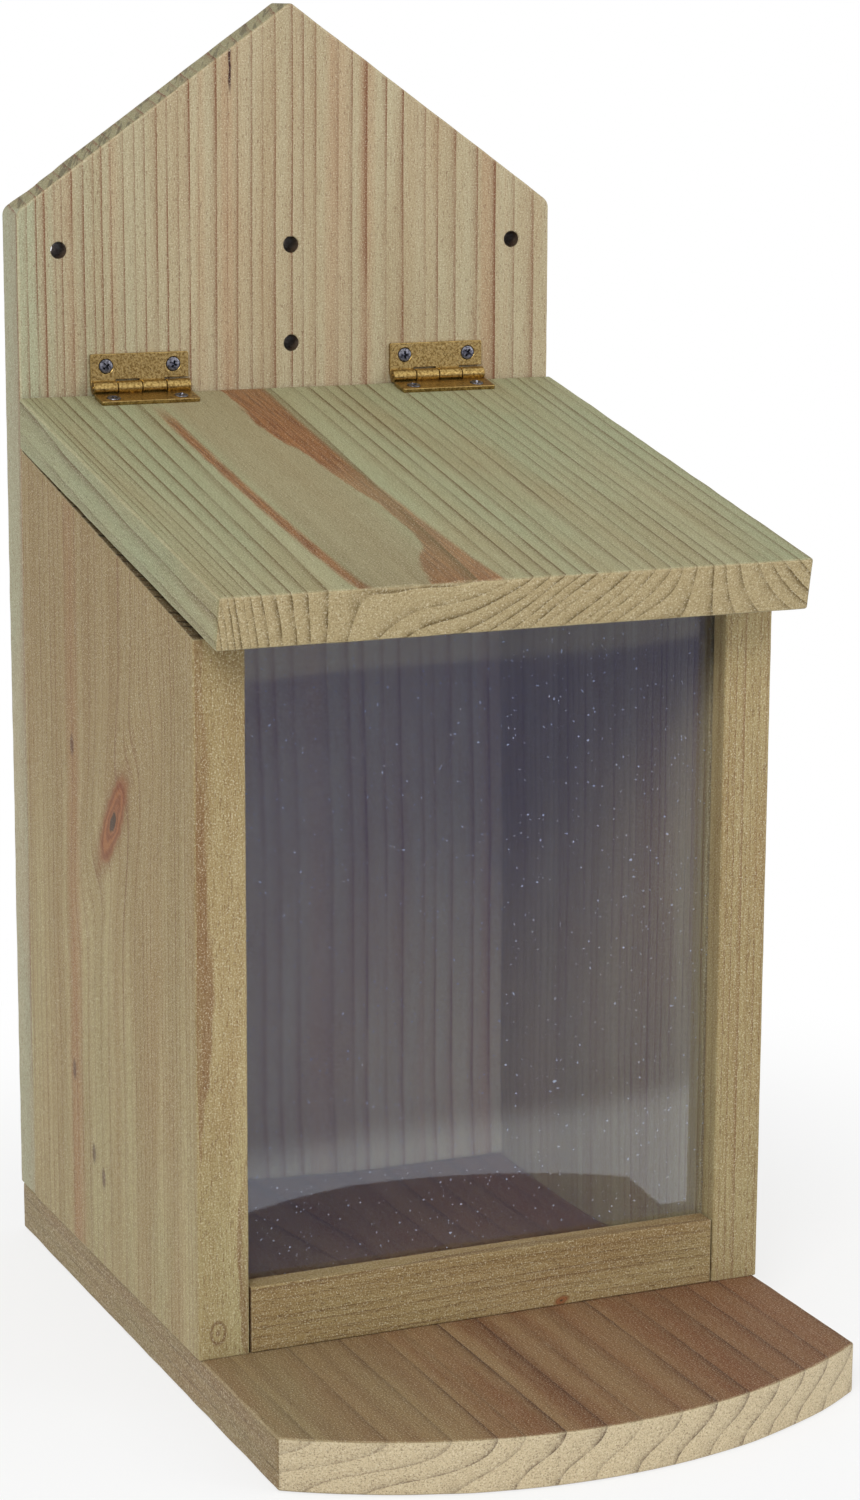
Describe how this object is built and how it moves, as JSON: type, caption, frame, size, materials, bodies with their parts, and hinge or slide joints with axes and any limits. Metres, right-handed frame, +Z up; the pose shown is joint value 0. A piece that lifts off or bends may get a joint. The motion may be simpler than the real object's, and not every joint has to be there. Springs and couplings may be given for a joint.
{
  "type": "squirrel feeder box",
  "caption": "Wooden garden feeder box with a gabled back board, a clear sliding window, a curved feeding lip and a hinged sloping lid.",
  "frame": {"origin": "centre of the footprint of the bounding box, on the plane that the base stands on", "axes": "+Z up, -Y the front with the feeding lip and window, +Y the back board, +X to the right seen from the front"},
  "size_m": [0.141, 0.2002, 0.3062],
  "materials": {
    "pine_green": "planed pressure-treated pine, greenish, matt",
    "pine_tan": "planed pressure-treated pine, tan, matt",
    "pine_brown": "planed pressure-treated pine, brown, matt",
    "clear_plastic": "clear acrylic sheet, slightly dusty",
    "aged_brass": "antique brass plate, scratched",
    "dark_screw": "blackened steel",
    "zinc_screw": "zinc plated steel"
  },
  "bodies": {
    "box": {"back_board": "pine_green", "side_panel_left": "pine_tan", "side_panel_right": "pine_tan", "base_board": "pine_brown", "front_rail": "pine_tan", "window_pane": "clear_plastic", "hinge_left_board_leaf": "aged_brass", "hinge_right_board_leaf": "aged_brass", "hinge_left_pin": "aged_brass", "hinge_right_pin": "aged_brass", "hinge_left_board_screw_outer": "dark_screw", "hinge_left_board_screw_inner": "dark_screw", "hinge_right_board_screw_outer": "dark_screw", "hinge_right_board_screw_inner": "dark_screw", "back_screw_left_low": "zinc_screw", "back_screw_left_middle": "zinc_screw", "back_screw_left_high": "zinc_screw", "back_screw_right_low": "zinc_screw", "back_screw_right_middle": "zinc_screw", "back_screw_right_high": "zinc_screw", "base_screw_left_rear": "zinc_screw", "base_screw_left_front": "zinc_screw", "base_screw_right_rear": "zinc_screw", "base_screw_right_front": "zinc_screw", "board_foot_screw_left": "zinc_screw", "board_foot_screw_right": "zinc_screw", "rail_nail_left": "zinc_screw", "rail_nail_right": "zinc_screw"},
    "lid": {"lid": "pine_green", "hinge_left_lid_leaf": "aged_brass", "hinge_right_lid_leaf": "aged_brass", "hinge_left_lid_screw_outer": "dark_screw", "hinge_left_lid_screw_inner": "dark_screw", "hinge_right_lid_screw_outer": "dark_screw", "hinge_right_lid_screw_inner": "dark_screw"}
  },
  "joints": [
    {"name": "lid_hinge", "type": "hinge", "parent": "box", "child": "lid", "pos_m": [0, 0.08625, 0.21469], "axis": [-1, 0, 0], "range_deg": [0, 100]}
  ]
}
